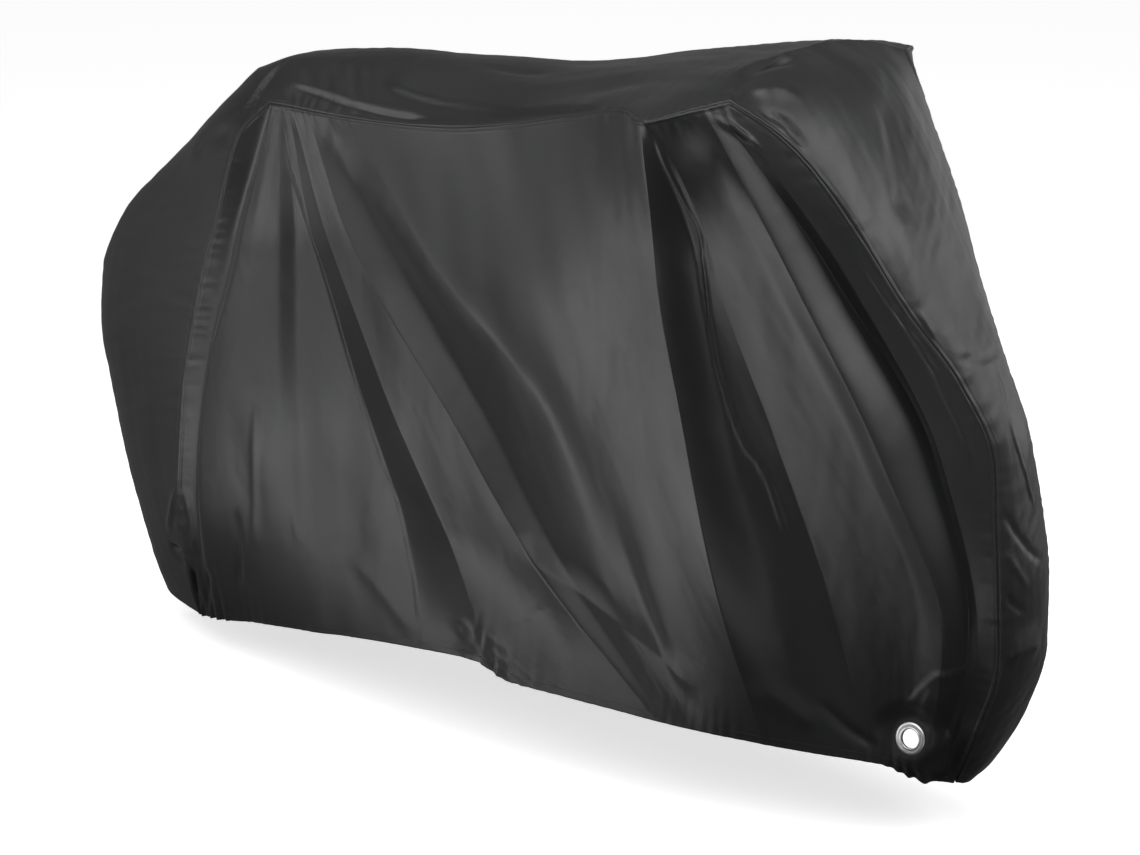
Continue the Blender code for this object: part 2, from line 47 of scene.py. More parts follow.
Section = namedtuple("Section", "x halfWidth height centreX centreHeight")
rearSections = [
    Section(-0.714, 0.085, 0.052, -0.868, 0.046),
    Section(-0.717, 0.100, 0.100, -0.896, 0.100),
    Section(-0.717, 0.120, 0.200, -0.929, 0.200),
    Section(-0.700, 0.140, 0.300, -0.958, 0.300),
    Section(-0.682, 0.148, 0.400, -0.980, 0.400),
    Section(-0.665, 0.150, 0.500, -0.998, 0.500),
    Section(-0.640, 0.150, 0.600, -0.990, 0.600),
    Section(-0.610, 0.150, 0.700, -0.936, 0.700),
    Section(-0.578, 0.145, 0.800, -0.832, 0.800),
    Section(-0.560, 0.122, 0.900, -0.706, 0.905),
    Section(-0.510, 0.100, 0.956, -0.603, 0.992),
]
topSections = [
    rearSections[-1],
    Section(-0.470, 0.106, 0.957, -0.520, 1.022),
    Section(-0.420, 0.114, 0.957, -0.440, 1.034),
    Section(-0.300, 0.130, 0.960, -0.300, 1.048),
    Section(-0.140, 0.150, 0.971, -0.140, 1.053),
    Section(0.000, 0.180, 0.996, 0.000, 1.059),
    Section(0.170, 0.235, 1.038, 0.160, 1.086),
    Section(0.310, 0.302, 1.070, 0.290, 1.108),
    Section(0.378, 0.354, 1.074, 0.350, 1.114),
    Section(0.418, 0.290, 1.085, 0.385, 1.122),
    Section(0.441, 0.240, 1.091, 0.410, 1.128),
]
frontSections = [
    topSections[-1],
    Section(0.487, 0.200, 1.050, 0.490, 1.098),
    Section(0.529, 0.169, 1.000, 0.550, 1.030),
    Section(0.595, 0.136, 0.900, 0.620, 0.915),
    Section(0.651, 0.105, 0.800, 0.674, 0.810),
    Section(0.716, 0.068, 0.700, 0.734, 0.706),
    Section(0.766, 0.055, 0.600, 0.782, 0.602),
    Section(0.782, 0.067, 0.500, 0.800, 0.500),
    Section(0.794, 0.075, 0.400, 0.814, 0.400),
    Section(0.797, 0.072, 0.300, 0.817, 0.300),
    Section(0.772, 0.074, 0.200, 0.792, 0.196),
    Section(0.733, 0.050, 0.120, 0.750, 0.112),
    Section(0.712, 0.030, 0.088, 0.722, 0.080),
]

HemPlace = namedtuple("HemPlace", "x halfWidth height")
hemPlaces = [
    HemPlace(-0.714, 0.085, 0.052),
    HemPlace(-0.640, 0.105, 0.064),
    HemPlace(-0.551, 0.120, 0.083),
    HemPlace(-0.412, 0.150, 0.108),
    HemPlace(-0.290, 0.170, 0.130),
    HemPlace(-0.169, 0.190, 0.148),
    HemPlace(-0.043, 0.200, 0.160),
    HemPlace(0.032, 0.200, 0.139),
    HemPlace(0.256, 0.200, 0.140),
    HemPlace(0.433, 0.170, 0.132),
    HemPlace(0.534, 0.150, 0.131),
    HemPlace(0.634, 0.112, 0.124),
    HemPlace(0.680, 0.093, 0.106),
    HemPlace(0.704, 0.060, 0.095),
    HemPlace(0.712, 0.030, 0.088),
]

# A fold runs down a side panel and passes its places at each quarter of the drop. Its half widths say how far
# it stands out from the middle of the bicycle. A crispness of 1 is a sharp crease.
Fold = namedtuple("Fold", [
    "name", "xTop", "xUpper", "xMiddle", "xLower", "xHem", "outUpper", "outMiddle", "outLower", "crispness",
], defaults=[0])
nearFolds = [
    Fold("rear hollow", -0.507, -0.565, -0.628, -0.668, -0.690, 0.137, 0.142, 0.131),
    Fold("fan edge", -0.500, -0.532, -0.608, -0.646, -0.665, 0.155, 0.161, 0.147, 0.2),
    Fold("fan face", -0.490, -0.490, -0.545, -0.570, -0.590, 0.164, 0.171, 0.153),
    Fold("fan stripe", -0.482, -0.442, -0.447, -0.455, -0.460, 0.166, 0.173, 0.158, 0.2),
    Fold("fan dip", -0.476, -0.412, -0.408, -0.402, -0.395, 0.160, 0.166, 0.153, 0.1),
    Fold("fan ridge", -0.468, -0.367, -0.280, -0.194, -0.145, 0.164, 0.174, 0.176, 1.0),
    Fold("saddle valley", -0.460, -0.344, -0.242, -0.136, 0.000, 0.154, 0.160, 0.152, 0.8),
    Fold("band edge", -0.425, -0.280, -0.098, 0.064, 0.300, 0.167, 0.186, 0.189, 0.8),
    Fold("band core", -0.395, -0.226, -0.052, 0.102, 0.318, 0.142, 0.152, 0.166, 0.2),
    Fold("saddle hollow", -0.330, -0.165, 0.060, 0.165, 0.336, 0.131, 0.139, 0.154),
    Fold("wedge foot", 0.001, 0.085, 0.145, 0.222, 0.356, 0.198, 0.170, 0.158),
    Fold("wedge edge", 0.235, 0.207, 0.210, 0.272, 0.384, 0.227, 0.192, 0.181, 0.1),
    Fold("wedge face", 0.330, 0.278, 0.294, 0.345, 0.426, 0.240, 0.211, 0.196),
    Fold("grip ridge", 0.372, 0.330, 0.362, 0.410, 0.468, 0.250, 0.225, 0.208, 0.9),
    Fold("grip hollow", 0.380, 0.368, 0.402, 0.470, 0.540, 0.201, 0.174, 0.156, 0.2),
    Fold("thin fold", 0.391, 0.398, 0.468, 0.548, 0.624, 0.203, 0.153, 0.124, 0.9),
    Fold("front hollow", 0.403, 0.430, 0.530, 0.625, 0.650, 0.203, 0.151, 0.115, 0.1),
    Fold("front rise", 0.414, 0.486, 0.602, 0.688, 0.676, 0.200, 0.148, 0.113, 0.1),
    Fold("front band", 0.424, 0.534, 0.654, 0.734, 0.690, 0.210, 0.164, 0.124, 0.6),
    Fold("front valley", 0.431, 0.560, 0.690, 0.757, 0.698, 0.148, 0.086, 0.088, 0.8),
    Fold("front lip", 0.437, 0.584, 0.708, 0.772, 0.705, 0.150, 0.098, 0.090, 0.8),
]
farFolds = [
    Fold("fan edge", -0.503, -0.552, -0.605, -0.640, -0.660, 0.146, 0.152, 0.142, 0.1),
    Fold("fan crest", -0.495, -0.470, -0.520, -0.560, -0.590, 0.158, 0.166, 0.150),
    Fold("fan dip", -0.487, -0.440, -0.450, -0.470, -0.500, 0.150, 0.152, 0.142),
    Fold("fan ridge", -0.478, -0.400, -0.360, -0.330, -0.300, 0.160, 0.176, 0.170, 0.2),
    Fold("saddle valley", -0.462, -0.372, -0.300, -0.230, -0.180, 0.146, 0.150, 0.150, 0.6),
    Fold("band crest", -0.430, -0.300, -0.190, -0.090, -0.020, 0.162, 0.184, 0.192, 0.2),
    Fold("saddle hollow", -0.300, -0.180, -0.090, 0.010, 0.080, 0.144, 0.148, 0.168),
    Fold("wedge foot", -0.040, 0.020, 0.060, 0.120, 0.190, 0.150, 0.146, 0.162),
    Fold("wedge edge", 0.230, 0.200, 0.200, 0.240, 0.300, 0.215, 0.180, 0.180, 0.2),
    Fold("grip ridge", 0.378, 0.368, 0.372, 0.390, 0.420, 0.322, 0.275, 0.235, 0.7),
    Fold("grip hollow", 0.388, 0.392, 0.412, 0.450, 0.505, 0.205, 0.155, 0.152, 0.1),
    Fold("thin fold", 0.398, 0.420, 0.470, 0.540, 0.610, 0.196, 0.150, 0.135, 0.6),
    Fold("front hollow", 0.410, 0.470, 0.520, 0.590, 0.642, 0.176, 0.142, 0.128, 0.2),
    Fold("front band", 0.422, 0.540, 0.645, 0.700, 0.670, 0.196, 0.158, 0.128, 0.1),
    Fold("front valley", 0.433, 0.588, 0.705, 0.752, 0.696, 0.124, 0.085, 0.098, 0.5),
]

# A crease follows its path and pushes the cloth out by rise. It dies out over the widths to the left and the
# right of its way, seen from outside. sharp 1 is a cusp and 0 a soft swell.
Crease = namedtuple("Crease", "name rise left right sharp path")
nearCreases = [
    Crease("wedge crease", 0.005, 0.035, 0.090, 0.9, [
        (0.055, 0.378), (0.074, 0.335), (0.099, 0.317), (0.137, 0.300), (0.173, 0.283), (0.209, 0.268),
        (0.248, 0.249), (0.311, 0.225), (0.371, 0.195)]),
    Crease("knee nick", -0.003, 0.006, 0.005, 0.9, [(0.011, 0.219), (0.056, 0.247), (0.110, 0.282)]),
    Crease("ridge line", -0.003, 0.005, 0.003, 0.9, [
        (-0.474, 0.930), (-0.447, 0.873), (-0.410, 0.818), (-0.365, 0.747), (-0.332, 0.673), (-0.302, 0.598),
        (-0.272, 0.523), (-0.245, 0.447), (-0.205, 0.373), (-0.182, 0.298), (-0.161, 0.224),
        (-0.150, 0.165)]),
    Crease("spike foot", 0.003, 0.050, 0.030, 0.7, [(-0.320, 0.265), (-0.230, 0.212), (-0.155, 0.165)]),
    Crease("light stripe", 0.002, 0.013, 0.013, 0.1, [(-0.490, 0.500), (-0.507, 0.400), (-0.528, 0.220)]),
    Crease("second stripe", 0.0018, 0.012, 0.012, 0.1, [(-0.415, 0.500), (-0.428, 0.380), (-0.430, 0.235)]),
    Crease("rear smudge", -0.005, 0.014, 0.012, 0.3, [(-0.562, 0.300), (-0.567, 0.219), (-0.592, 0.125)]),
    Crease("rear slit", -0.013, 0.009, 0.009, 0.4, [(-0.700, 0.155), (-0.705, 0.115), (-0.700, 0.070)]),
    Crease("rear spine", 0.006, 0.014, 0.012, 0.8, [(-0.690, 0.305), (-0.688, 0.234), (-0.692, 0.165)]),
    Crease("rear tuck", -0.005, 0.014, 0.014, 0.4, [(-0.655, 0.165), (-0.668, 0.120), (-0.686, 0.064)]),
    Crease("hem gather one", 0.002, 0.012, 0.012, 0.3, [(-0.108, 0.212), (-0.085, 0.190), (-0.068, 0.165)]),
    Crease("hem gather two", -0.005, 0.007, 0.009, 0.7, [(-0.075, 0.222), (-0.049, 0.183), (-0.036, 0.155)]),
    Crease("hem gather three", -0.004, 0.007, 0.007, 0.7, [(-0.018, 0.210), (-0.005, 0.173), (0.002, 0.150)]),
    Crease("hem gather four", -0.006, 0.009, 0.008, 0.7, [(0.002, 0.206), (0.020, 0.166), (0.030, 0.140)]),
    Crease("thin lip", 0.0035, 0.007, 0.005, 0.9, [
        (0.383, 1.047), (0.379, 0.995), (0.382, 0.947), (0.388, 0.900), (0.380, 0.851), (0.380, 0.789),
        (0.386, 0.712), (0.404, 0.637), (0.427, 0.582), (0.449, 0.550), (0.470, 0.495), (0.491, 0.442)]),
    Crease("panel crease", -0.002, 0.0035, 0.0035, 0.9, [
        (0.483, 1.000), (0.496, 0.955), (0.499, 0.898), (0.483, 0.828)]),
    Crease("upper flap", 0.004, 0.006, 0.008, 0.9, [
        (0.440, 1.076), (0.446, 1.066), (0.456, 1.051), (0.470, 1.039)]),
    Crease("lip groove", -0.0035, 0.005, 0.007, 0.9, [
        (0.580, 0.900), (0.612, 0.845), (0.648, 0.785), (0.684, 0.722), (0.714, 0.668), (0.738, 0.615),
        (0.756, 0.560)]),
    Crease("front flap", 0.005, 0.006, 0.010, 0.9, [
        (0.431, 1.073), (0.450, 1.058), (0.466, 1.044), (0.481, 1.029)]),
    Crease("low fold", 0.006, 0.030, 0.030, 0.3, [(0.450, 0.235), (0.500, 0.201), (0.550, 0.165)]),
    Crease("low hollow", -0.006, 0.014, 0.014, 0.6, [(0.542, 0.215), (0.588, 0.172), (0.640, 0.142)]),
    Crease("eyelet ridge", 0.003, 0.012, 0.022, 0.5, [(0.686, 0.190), (0.700, 0.230), (0.714, 0.262)]),
    Crease("eyelet hollow", -0.004, 0.022, 0.022, 0.2, [(0.716, 0.240), (0.718, 0.200), (0.712, 0.155)]),
    Crease("arch", 0.0025, 0.006, 0.024, 0.6, [
        (0.655, 0.195), (0.679, 0.231), (0.702, 0.262), (0.725, 0.281), (0.752, 0.289), (0.772, 0.280)]),
    Crease("corner ray", -0.006, 0.010, 0.010, 0.7, [(0.716, 0.110), (0.736, 0.150), (0.760, 0.190)]),
    Crease("second ray", 0.004, 0.010, 0.010, 0.7, [(0.714, 0.120), (0.728, 0.180), (0.745, 0.240)]),
]
farCreases = [
    Crease("wedge crease", -0.006, 0.024, 0.090, 0.6, [
        (0.000, 0.350), (0.110, 0.300), (0.190, 0.250), (0.240, 0.180)]),
    Crease("gather one", -0.010, 0.012, 0.012, 0.6, [(-0.115, 0.200), (-0.095, 0.170), (-0.075, 0.140)]),
    Crease("gather two", -0.010, 0.012, 0.012, 0.6, [(-0.080, 0.190), (-0.062, 0.165), (-0.045, 0.146)]),
]
stripCreases = [
    Crease("rear crease", -0.010, 0.012, 0.010, 0.7, [
        (-0.520, -0.030, 1.012), (-0.546, -0.072, 0.981), (-0.555, -0.097, 0.944), (-0.560, -0.113, 0.913)]),
    Crease("saddle hollow", -0.007, 0.012, 0.028, 0.6, [
        (-0.489, -0.085, 0.981), (-0.413, -0.097, 0.979), (-0.336, -0.114, 0.974), (-0.244, -0.126, 0.972),
        (-0.154, -0.140, 0.978)]),
    Crease("top lens", 0.006, 0.050, 0.010, 0.7, [
        (-0.292, -0.081, 1.017), (-0.249, -0.096, 1.007), (-0.160, -0.118, 1.000), (-0.070, -0.136, 1.004),
        (0.027, -0.166, 1.013), (0.127, -0.202, 1.033), (0.240, -0.250, 1.055)]),
    Crease("saddle crease", -0.004, 0.012, 0.012, 0.5, [
        (-0.299, -0.067, 1.025), (-0.275, -0.050, 1.037), (-0.263, -0.020, 1.046)]),
    Crease("top dip", -0.004, 0.018, 0.018, 0.2, [
        (-0.134, -0.041, 1.055), (-0.081, -0.051, 1.051), (0.023, -0.069, 1.063)]),
    Crease("trough", -0.010, 0.022, 0.022, 0.4, [
        (0.433, -0.226, 1.090), (0.427, -0.191, 1.104), (0.414, -0.150, 1.110), (0.419, -0.098, 1.120),
        (0.432, -0.040, 1.127)]),
    Crease("bright patch", 0.006, 0.018, 0.018, 0.5, [
        (0.443, -0.189, 1.090), (0.455, -0.150, 1.097), (0.481, -0.125, 1.085)]),
    Crease("dark spot", -0.009, 0.012, 0.012, 0.6, [
        (0.458, -0.200, 1.073), (0.470, -0.187, 1.066), (0.484, -0.177, 1.056), (0.500, -0.170, 1.038),
        (0.516, -0.160, 1.020)]),
    Crease("front groove", -0.004, 0.030, 0.030, 0.0, [
        (0.511, 0.032, 1.064), (0.564, -0.017, 0.995), (0.614, -0.060, 0.901)]),
    Crease("light line", 0.003, 0.006, 0.006, 0.8, [
        (0.731, 0.015, 0.722), (0.755, -0.003, 0.680), (0.775, -0.015, 0.625), (0.797, 0.001, 0.556),
        (0.808, 0.020, 0.500)]),
    Crease("front glint", 0.004, 0.008, 0.008, 0.6, [(0.658, -0.088, 0.800), (0.676, -0.080, 0.758)]),
    Crease("cross seam", -0.003, 0.006, 0.006, 0.7, [
        (0.690, -0.085, 0.730), (0.722, -0.045, 0.730), (0.731, 0.0, 0.730), (0.722, 0.045, 0.730),
        (0.690, 0.085, 0.730)]),
    Crease("seam dive", -0.003, 0.012, 0.010, 0.7, [
        (0.775, -0.062, 0.535), (0.792, -0.036, 0.486), (0.812, -0.005, 0.450), (0.817, 0.040, 0.425)]),
    Crease("seam rise", 0.002, 0.010, 0.010, 0.7, [
        (0.786, -0.064, 0.473), (0.802, -0.042, 0.435), (0.813, -0.016, 0.400)]),
    Crease("low dive", -0.003, 0.008, 0.008, 0.7, [
        (0.792, -0.068, 0.412), (0.803, -0.050, 0.389), (0.815, -0.020, 0.365)]),
    Crease("front fold", 0.008, 0.050, 0.026, 0.6, [
        (0.788, -0.070, 0.311), (0.803, -0.050, 0.314), (0.815, -0.020, 0.312), (0.817, 0.020, 0.308)]),
    Crease("rear light fold", 0.006, 0.012, 0.014, 0.8, [
        (-0.702, -0.137, 0.300), (-0.735, -0.120, 0.240), (-0.775, -0.090, 0.185)]),
    Crease("rear bar", -0.012, 0.006, 0.030, 0.7, [
        (-0.775, -0.095, 0.172), (-0.735, -0.112, 0.163), (-0.706, -0.118, 0.158)]),
    Crease("rear shelf", -0.006, 0.030, 0.030, 0.2, [
        (-0.565, -0.116, 0.913), (-0.615, -0.110, 0.897), (-0.672, -0.095, 0.873), (-0.712, -0.080, 0.839)]),
]

fineness = {
    "step": 0.0048,  # size of a cell of the cloth's mesh
    "seamSteps": [0.0, 0.0008, 0.0018, 0.003, 0.0045, 0.006, 0.0075, 0.0095, 0.012, 0.0155],
    "hemSteps": [0.0, 0.002, 0.004, 0.0065, 0.009, 0.0115, 0.014, 0.0165, 0.020],
    "foldSteps": [0.0015, 0.0035, 0.0065],
    "foldClear": 0.001,  # other columns keep this far from the last of those steps
    "foldGap": 0.02,  # folds count as at least this far apart
    "crispFold": 0.5,  # folds at least this crisp get columns of their own
    "stripColumns": 66,
    "path": 0.003,  # spacing of the points along a crease
    "search": 4000,  # places tried across a panel to meet the other panel's columns
}
panelDrop = 0.92  # a panel's usual height, for its rows
seamBlend = 0.2  # shares of the drop over which folds run into the seam and the hem
hemBlend = 0.2
stripRound = 2.4
rearRound = 1.3  # the strip lies nearly straight from its seam to the middle of the rear wheel
rearRoundEnd = [0.80, 0.94]  # heights between which it turns round
crossSeamHeight = 0.730
# A lock corner lies below a share of the drop, and in front of the column that passes a point lower down.
cornerCut = {"drop": 15 / 18, "frontX": 0.612, "frontDrop": 16 / 18}


def curve(keys, values, at, crispness=None):
    # a smooth line through rows of values at rising keys, straight beside a crisp row
    keys, values, at = np.asarray(keys, float), np.asarray(values, float), np.asarray(at, float)
    spans = np.diff(keys)
    flat = values.reshape(len(keys), -1)
    rises = np.diff(flat, axis=0) / spans[:, None]
    before, after = rises[:-1], rises[1:]
    sameWay = before * after > 0
    mean = np.where(sameWay, 2 * before * after / np.where(sameWay, before + after, 1.0), 0.0)
    slopes = np.vstack([rises[:1], mean, rises[-1:]])
    arriving = np.vstack([rises[:1], rises])
    leaving = np.vstack([rises, rises[-1:]])
    crisp = np.zeros(len(keys)) if crispness is None else np.asarray(crispness, float)
    arriving = slopes + crisp[:, None] * (arriving - slopes)
    leaving = slopes + crisp[:, None] * (leaving - slopes)
    row = np.clip(np.searchsorted(keys, at, side="right") - 1, 0, len(keys) - 2)
    t = ((at - keys[row]) / spans[row])[:, None]
    span = spans[row][:, None]
    result = (
        (2 * t**3 - 3 * t**2 + 1) * flat[row]
        + (t**3 - 2 * t**2 + t) * span * leaving[row]
        + (3 * t**2 - 2 * t**3) * flat[row + 1]
        + (t**3 - t**2) * span * arriving[row + 1]
    )
    return result.reshape(at.shape + values.shape[1:])


def along(sections, key, at):
    table = np.array(sections, float)
    column = Section._fields.index(key)
    if table[0, column] > table[-1, column]:
        table = table[::-1]
    return curve(table[:, column], table, at)


def hemAt(x):
    table = np.array(hemPlaces, float)
    return curve(table[:, 0], table[:, 1:], x)


def smoothStep(value):
    value = np.clip(value, 0.0, 1.0)
    return value * value * (3 - 2 * value)


def unit(vectors):
    return vectors / np.maximum(np.linalg.norm(vectors, axis=-1, keepdims=True), 1e-12)


def graded(length, start, end):
    # distances along a length, close together at both ends
    first, last = start[-1], length - end[-1]
    count = max(2, round((last - first) / fineness["step"]))
    middle = np.linspace(first, last, count + 1)[1:-1]
    return np.concatenate([start, middle, length - np.array(end[::-1])])


def foldLines(folds, drop):
    knots = np.linspace(0.0, 1.0, 5)
    tops = along(topSections, "x", [fold.xTop for fold in folds])
    hems = hemAt(np.array([fold.xHem for fold in folds]))
    rearHeight = rearSections[-1].height + drop * (hemPlaces[0].height - rearSections[-1].height)
    frontHeight = frontSections[0].height + drop * (hemPlaces[-1].height - frontSections[0].height)
    lines = [along(rearSections, "height", rearHeight)[:, :3]]
    for fold, top, hem in zip(folds, tops, hems):
        xs = [fold.xTop, fold.xUpper, fold.xMiddle, fold.xLower, fold.xHem]
        outs = [top[1], fold.outUpper, fold.outMiddle, fold.outLower, hem[0]]
        heights = top[2] + (hem[1] - top[2]) * drop
        lines.append(np.stack([curve(knots, xs, drop), curve(knots, outs, drop), heights], axis=1))
    lines.append(along(frontSections, "height", frontHeight)[:, :3])
    return np.array(lines)


def foldKeys(lines):
    middle = lines.shape[1] // 2
    gaps = np.maximum(np.linalg.norm(np.diff(lines[:, middle], axis=0), axis=1), fineness["foldGap"])
    return np.concatenate([[0.0], np.cumsum(gaps)])


def columnPlaces(folds, drop):
    # where the columns stand, in lengths across the middle of the panel
    keys = foldKeys(foldLines(folds, drop))
    places = graded(keys[-1], fineness["seamSteps"], fineness["seamSteps"]).tolist()
    for fold, key in zip(folds, keys[1:]):
        if fold.crispness >= fineness["crispFold"]:
            reach = fineness["foldSteps"][-1] + fineness["foldClear"]
            places = [place for place in places if abs(place - key) > reach or place in (0.0, keys[-1])]
            places += [key] + [key + way * step for step in fineness["foldSteps"] for way in (-1, 1)]
    return np.array(sorted(places))


def foldCurve(folds, drop):
    lines = foldLines(folds, drop)
    crisp = [1.0] + [fold.crispness for fold in folds] + [1.0]
    keys = foldKeys(lines)
    return keys, lambda at: curve(keys, lines, at, crisp)


def placesUnder(folds, drop, tops):
    # places across a panel whose columns start at given points of the top seam
    keys, across = foldCurve(folds, drop)
    fine = np.linspace(0, keys[-1], fineness["search"])
    return np.interp(tops, across(fine)[:, 0, 0], fine)


def sideGrid(folds, drop, places):
    # points of a side panel, row by row from the seam to the hem, with half widths for Y
    grid = foldCurve(folds, drop)[1](places).transpose(1, 0, 2)
    rows = drop[:, None, None]
    nearSeam = np.maximum(1 - rows / seamBlend, 0.0) ** 2
    nearHem = np.maximum(1 - (1 - rows) / hemBlend, 0.0) ** 2
    seam = along(topSections, "x", grid[0, :, 0])[:, :3]
    grid += (seam - grid[0])[None] * nearSeam
    hem = hemAt(grid[-1, :, 0])
    grid[:, :, 1:] += (hem - grid[-1, :, 1:])[None] * nearHem
    return grid


def seamPath(side):
    # a panel's edge from the rear hem up, over the top and down to the front hem
    return np.concatenate([side[::-1, 0], side[0, 1:], side[1:, -1]])


def stripGrid(near, far, across):
    seams = [seamPath(near), seamPath(far)]
    middle = (seams[0] + seams[1]) / 2
    lastRear, firstFront = len(near) - 1, len(middle) - len(near)
    centre = np.concatenate([
        along(rearSections, "height", middle[:lastRear, 2])[:, 3:],
        along(topSections, "x", middle[lastRear:firstFront + 1, 0])[:, 3:],
        along(frontSections, "height", middle[firstFront + 1:, 2])[:, 3:],
    ])
    height = middle[:, 2]
    rear = 1 - smoothStep((height - rearRoundEnd[0]) / (rearRoundEnd[1] - rearRoundEnd[0]))
    rear[firstFront:] = 0
    roundness = stripRound + (rearRound - stripRound) * rear
    arch = 1 - np.abs(across)[None] ** roundness[:, None]
    share = ((1 + across) / 2)[None]
    grid = np.zeros((len(middle), len(across), 3))
    for axis, crown in ((0, centre[:, :1]), (2, centre[:, 1:])):
        edge = seams[0][:, axis:axis + 1] * (1 - share) + seams[1][:, axis:axis + 1] * share
        grid[:, :, axis] = edge + (crown - middle[:, axis:axis + 1]) * arch
    grid[:, :, 1] = seams[1][:, 1:2] * share - seams[0][:, 1:2] * (1 - share)
    return grid


def gridNormals(grid):
    # unit normals from the cells around each point
    cell = unit(np.cross(grid[1:, 1:] - grid[:-1, :-1], grid[1:, :-1] - grid[:-1, 1:]))
    total = np.zeros_like(grid)
    for rows in (slice(0, -1), slice(1, None)):
        for columns in (slice(0, -1), slice(1, None)):
            total[rows, columns] += cell
    return unit(total)


def runLength(grid, axis):
    # length along the grid's lines from the first row or column
    steps = np.linalg.norm(np.diff(grid, axis=axis), axis=-1)
    pad = [(1, 0) if side == axis else (0, 0) for side in range(2)]
    return np.cumsum(np.pad(steps, pad), axis=axis)


def waves(points, seed, count, shortest, longest, heading, spread):
    # a smooth field of about -1 to 1: waves that travel near one heading, in degrees
    rng = np.random.default_rng(seed)
    total = np.zeros(points.shape[:-1])
    for number in range(count):
        length = shortest * (longest / shortest) ** rng.random()
        angle = math.radians(heading + spread * rng.normal())
        way = np.array([math.cos(angle), math.sin(angle)]) * 2 * math.pi / length
        total += np.sin(points @ way + rng.random() * 2 * math.pi)
    return total / math.sqrt(count / 2) / 1.6  # the sum seldom passes 1.6 times its spread


def densePath(points):
    points = np.array(points, float)
    keys = np.concatenate([[0.0], np.cumsum(np.linalg.norm(np.diff(points, axis=0), axis=1))])
    count = max(4, round(keys[-1] / fineness["path"]))
    return curve(keys, points, np.linspace(0, keys[-1], count))


creaseEnd = 0.045  # a crease dies out over this length at each end
creaseEndShare = 0.35  # or over this share of its own length, if that is less


def creasePush(grid, normals, path, crease):
    # how far a crease pushes each point along its normal
    push = np.zeros(grid.shape[:2])
    reach = max(crease.left, crease.right)
    inside = ((grid > path.min(0) - reach) & (grid < path.max(0) + reach)).all(-1)
    points, out = grid[inside], normals[inside]
    if not len(points):
        return push
    away = points[:, None] - path[None]
    distance = np.linalg.norm(away, axis=-1)
    nearest = distance.argmin(axis=1)
    pick = np.arange(len(points))
    tangent = np.gradient(path, axis=0)[nearest]
    left = np.einsum("ij,ij->i", np.cross(out, tangent), away[pick, nearest]) > 0
    width = np.where(left, crease.left, crease.right)
    share = np.clip(1 - distance[pick, nearest] / width, 0.0, 1.0)
    shape = crease.sharp * share**2 + (1 - crease.sharp) * smoothStep(share)
    length = np.linalg.norm(np.diff(path, axis=0), axis=1).sum()
    end = np.minimum(nearest, len(path) - 1 - nearest) / (len(path) - 1) * length
    push[inside] = crease.rise * shape * smoothStep(end / min(creaseEnd, creaseEndShare * length))
    return push


def onGrid(grid, places, axes):
    # the points of a grid nearest to places given on two of its axes
    flat = grid.reshape(-1, 3)
    found = [flat[np.argmin(((flat[:, axes] - place) ** 2).sum(1))] for place in np.array(places, float)]
    return densePath(found)


print("tables read")

drop = graded(panelDrop, fineness["seamSteps"], fineness["hemSteps"]) / panelDrop
places = columnPlaces(nearFolds, drop)
near = sideGrid(nearFolds, drop, places)
far = sideGrid(farFolds, drop, placesUnder(farFolds, drop, near[0, :, 0]))
stripHalf = 0.19  # half the strip's usual width
edgeShares = np.array(fineness["seamSteps"][1:]) / stripHalf
across = np.linspace(-1 + edgeShares[-1], 1 - edgeShares[-1], fineness["stripColumns"])
across = np.concatenate([[-1.0], -1 + edgeShares[:-1], across, 1 - edgeShares[:-1][::-1], [1.0]])
strip = stripGrid(near, far, across)
near[..., 1] *= -1
sheets = {"near": near, "far": far, "strip": strip}
outward = {"near": -1, "far": 1, "strip": -1}
print("panels", near.shape, "strip", strip.shape)

seamLook = {
    "band": 0.0062,  # width of the felled band beside a seam
    "bandRise": 0.0009,
    "bandStart": 0.0015,
    "bandEnd": 0.0016,
    "bandPast": 0.0012,
    "stripBand": 0.6,  # how much of its rise the band has on the strip
    "groove": 0.0014,
    "grooveWidth": 0.0016,
    "stitchDip": 0.0007,
    "dipWidth": 0.0013,
    "pucker": 0.0005,
    "puckerReach": 0.022,
    "puckerWaves": (14, 0.014, 0.050, 0, 0),
    "still": 0.008,  # creases and waves die out over this distance from a seam
}


def seamDistances(name, grid):
    # distance from each point to its nearest seam, and the station of that seam
    rows, columns = grid.shape[:2]
    if name == "strip":
        down = runLength(grid, 1)
        fromNear, fromFar = down, down[:, -1:] - down
        station = np.repeat(np.arange(rows)[:, None], columns, axis=1)
        return np.minimum(fromNear, fromFar), station, np.where(fromNear < fromFar, 0, 1)
    fromTop = runLength(grid, 0)
    side = runLength(grid, 1)
    fromFront = side[:, -1:] - side
    topStation = np.repeat((rows - 1 + np.arange(columns))[None], rows, axis=0)
    rearStation = np.repeat((rows - 1 - np.arange(rows))[:, None], columns, axis=1)
    frontStation = np.repeat((rows - 1 + columns - 1 + np.arange(rows))[:, None], columns, axis=1)
    stack = np.stack([fromTop, side, fromFront])
    which = stack.argmin(0)
    station = np.choose(which, [topStation, rearStation, frontStation])
    return stack.min(0), station, np.full(grid.shape[:2], 0 if name == "near" else 1)


def shareSeams(normals):
    # the mean of both sheets' normals along a seam, so that their edges move alike
    for edge, name in ((0, "near"), (-1, "far")):
        side = normals[name]
        rows, columns = side.shape[:2]
        path = [(row, 0) for row in range(rows - 1, -1, -1)]
        path += [(0, column) for column in range(1, columns)]
        path += [(row, columns - 1) for row in range(1, rows)]
        index = tuple(np.array(path).T)
        shared = unit(side[index] + normals["strip"][:, edge])
        side[index] = shared
        normals["strip"][:, edge] = shared


